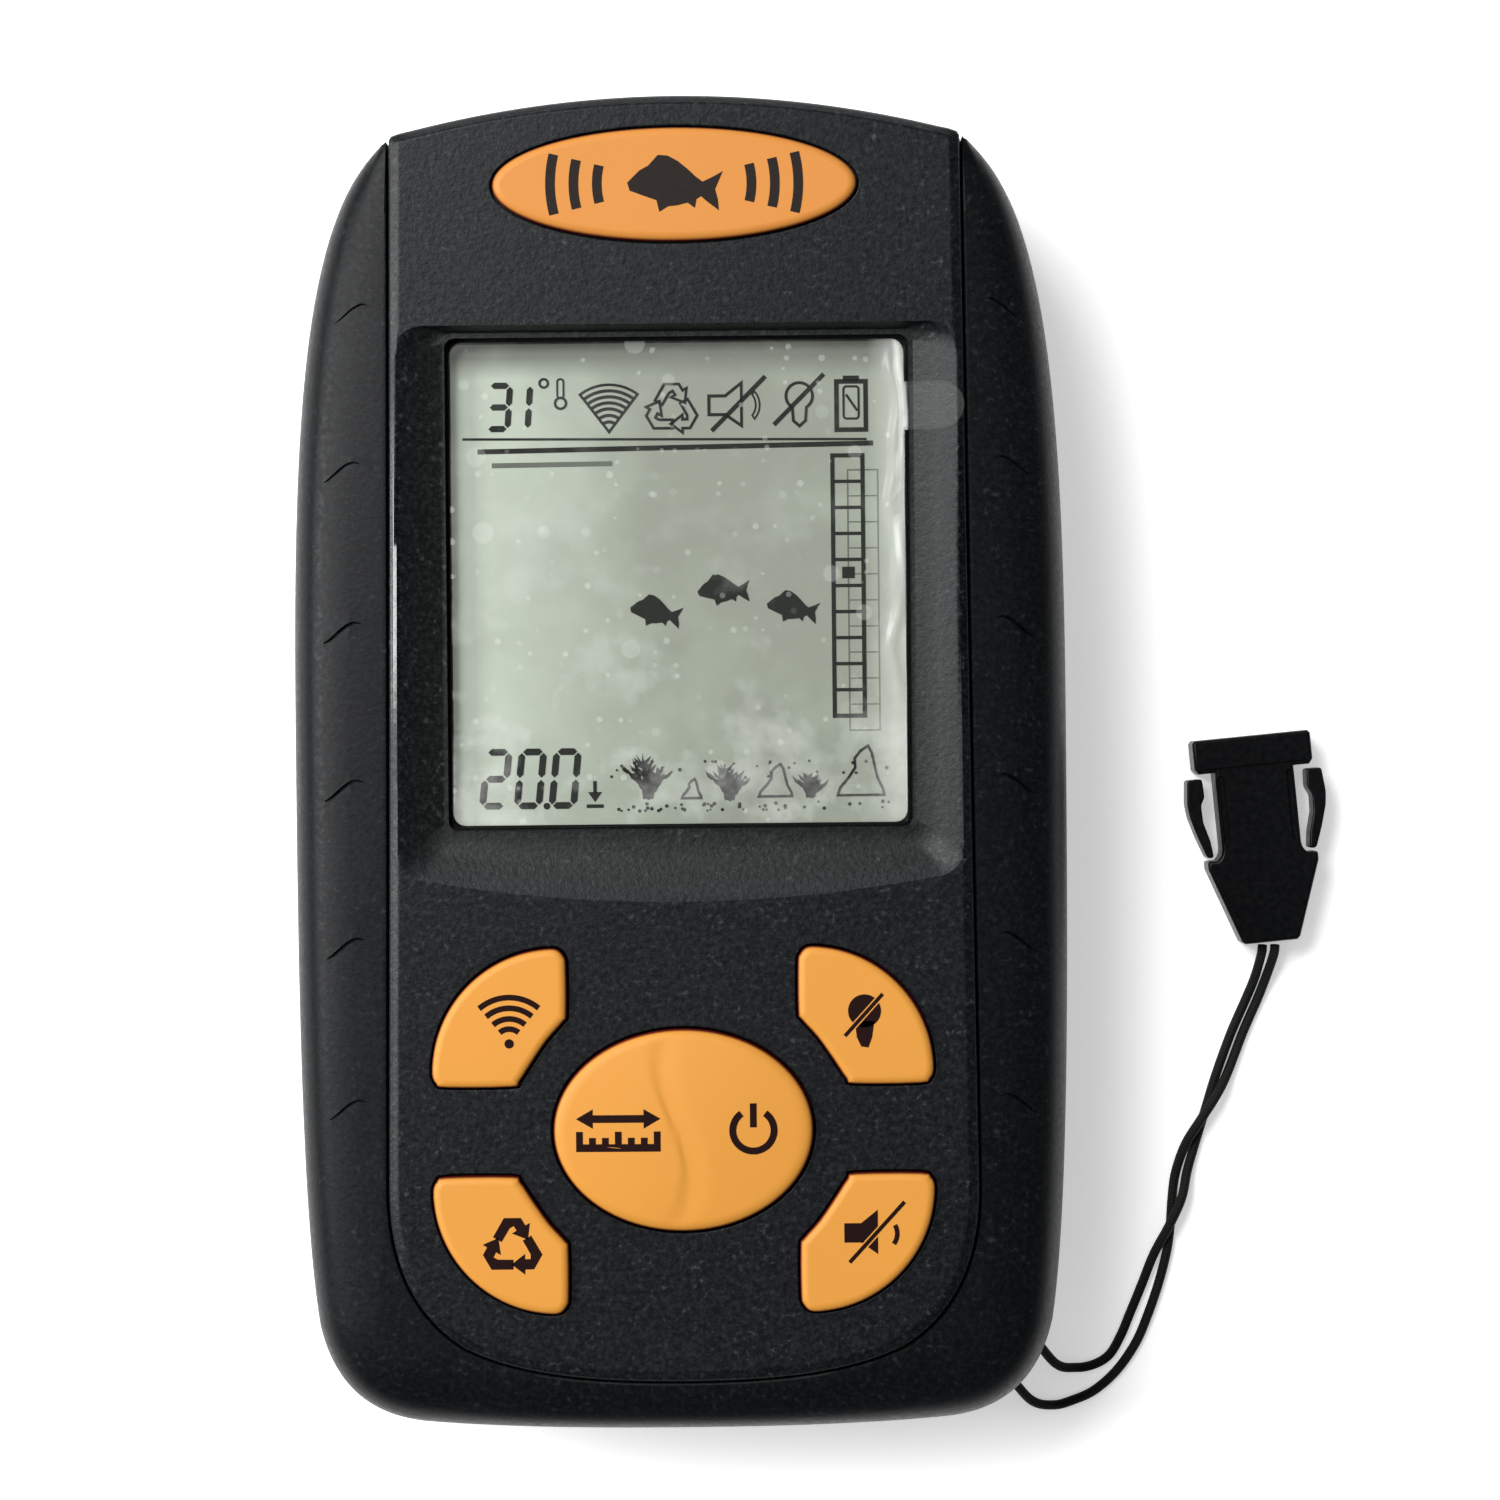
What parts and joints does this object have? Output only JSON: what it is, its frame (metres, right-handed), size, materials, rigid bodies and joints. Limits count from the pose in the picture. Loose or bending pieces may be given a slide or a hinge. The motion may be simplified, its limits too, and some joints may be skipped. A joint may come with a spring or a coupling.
{
  "type": "fish finder",
  "caption": "Hand-held wireless fish finder with a liquid crystal screen, press keys, a rocker key, a battery door in its back and a strap cord with a snap-in clip.",
  "frame": {"origin": "under the middle of the body, on the plane that the back rests on", "axes": "+Z out of the screen, +Y towards the top of the device, +X to the reader's right"},
  "size_m": [0.1053, 0.134, 0.0279],
  "materials": {
    "speckled_plastic": "charcoal moulded plastic with a fine metallic speckle",
    "grip_plastic": "matte dark grey, fine spark-eroded texture",
    "back_plastic": "matte black, fine texture",
    "badge_orange": "satin orange",
    "key_orange": "soft satin orange",
    "window_clear": "clear, polished",
    "film_clear": "clear protective film with small bubbles",
    "lcd_glass": "grey-green liquid crystal, polished",
    "light_guide": "satin white",
    "holder_plastic": "satin",
    "black_rubber": "matte",
    "grey_silicone": "matte translucent",
    "circuit_board": "solder mask, satin",
    "component_black": "satin",
    "nickel_steel": "nickel plated",
    "copper_wire": "enamelled",
    "cell_wrapper": null,
    "red_wire": "satin",
    "black_wire": "satin",
    "strap_cord": "braided, matte",
    "clip_plastic": "satin black"
  },
  "bodies": {
    "root": {"aaa_cell_1": "cell_wrapper", "aaa_cell_2": "cell_wrapper", "aaa_cell_3": "cell_wrapper", "aaa_cell_4": "cell_wrapper", "antenna": "copper_wire", "back_shell": "back_plastic", "badge": "badge_orange", "buzzer": "component_black", "case_gasket": "black_rubber", "case_screw_1": "nickel_steel", "case_screw_2": "nickel_steel", "case_screw_3": "nickel_steel", "case_screw_4": "nickel_steel", "clip_body": "clip_plastic", "contact_bridge_1": "nickel_steel", "contact_bridge_2": "nickel_steel", "contact_bridge_3": "nickel_steel", "contact_negative": "nickel_steel", "contact_positive": "nickel_steel", "crystal_can": "nickel_steel", "dome_light": "grey_silicone", "dome_loop": "grey_silicone", "dome_mute": "grey_silicone", "dome_rocker_left": "grey_silicone", "dome_rocker_right": "grey_silicone", "dome_sonar": "grey_silicone", "front_shell": "speckled_plastic", "grip_bumper": "grip_plastic", "keypad_mat": "grey_silicone", "lcd_backlight": "light_guide", "lcd_cell": "lcd_glass", "lcd_holder": "holder_plastic", "led_strip": "light_guide", "lens_window": "window_clear", "main_pcb": "circuit_board", "mcu_chip": "component_black", "pcb_screw_1": "nickel_steel", "pcb_screw_2": "nickel_steel", "pcb_screw_3": "nickel_steel", "pcb_screw_4": "nickel_steel", "rf_module": "nickel_steel", "screen_film": "film_clear", "strap_cord_a": "strap_cord", "strap_cord_b": "strap_cord", "strap_pin": "nickel_steel", "wire_black": "black_wire", "wire_red": "red_wire", "zebra_strip": "black_rubber"},
    "sonar_key": {"key_sonar": "key_orange"},
    "light_key": {"key_light": "key_orange"},
    "loop_key": {"key_loop": "key_orange"},
    "mute_key": {"key_mute": "key_orange"},
    "rocker": {"key_rocker": "key_orange"},
    "door": {"battery_door": "back_plastic"},
    "latch": {"door_latch": "back_plastic"},
    "left_arm": {"clip_arm_left": "clip_plastic"},
    "right_arm": {"clip_arm_right": "clip_plastic"}
  },
  "joints": [
    {"name": "sonar_key_press", "type": "slide", "parent": "root", "child": "sonar_key", "axis": [0, 0, -1], "range_m": [0, 0.0008], "stiffness_N_per_m": 1500, "springref_m": -0.0001, "deforming": ["dome_sonar"]},
    {"name": "light_key_press", "type": "slide", "parent": "root", "child": "light_key", "axis": [0, 0, -1], "range_m": [0, 0.0008], "stiffness_N_per_m": 1500, "springref_m": -0.0001, "deforming": ["dome_light"]},
    {"name": "loop_key_press", "type": "slide", "parent": "root", "child": "loop_key", "axis": [0, 0, -1], "range_m": [0, 0.0008], "stiffness_N_per_m": 1500, "springref_m": -0.0001, "deforming": ["dome_loop"]},
    {"name": "mute_key_press", "type": "slide", "parent": "root", "child": "mute_key", "axis": [0, 0, -1], "range_m": [0, 0.0008], "stiffness_N_per_m": 1500, "springref_m": -0.0001, "deforming": ["dome_mute"]},
    {"name": "rocker_tilt", "type": "hinge", "parent": "root", "child": "rocker", "pos_m": [0, -0.0361, 0.0225], "axis": [0, 1, 0], "range_deg": [-2.2, 2.2], "stiffness_Nm_per_rad": 0.25, "deforming": ["dome_rocker_left", "dome_rocker_right"]},
    {"name": "door_swing", "type": "hinge", "parent": "root", "child": "door", "pos_m": [0, 0.0196, 0.00095], "axis": [1, 0, 0], "range_deg": [0, 80]},
    {"name": "latch_press", "type": "hinge", "parent": "door", "child": "latch", "pos_m": [0, -0.0286, 0.0006], "axis": [-1, 0, 0], "range_deg": [0, 4], "stiffness_Nm_per_rad": 0.15},
    {"name": "left_arm_squeeze", "type": "hinge", "parent": "root", "child": "left_arm", "pos_m": [0.05463, -0.01047, 0.0025], "axis": [0, 0, -1], "range_deg": [0, 6], "stiffness_Nm_per_rad": 0.08},
    {"name": "right_arm_squeeze", "type": "hinge", "parent": "root", "child": "right_arm", "pos_m": [0.06529, -0.0095, 0.0025], "axis": [0, 0, 1], "range_deg": [0, 6], "stiffness_Nm_per_rad": 0.08}
  ]
}
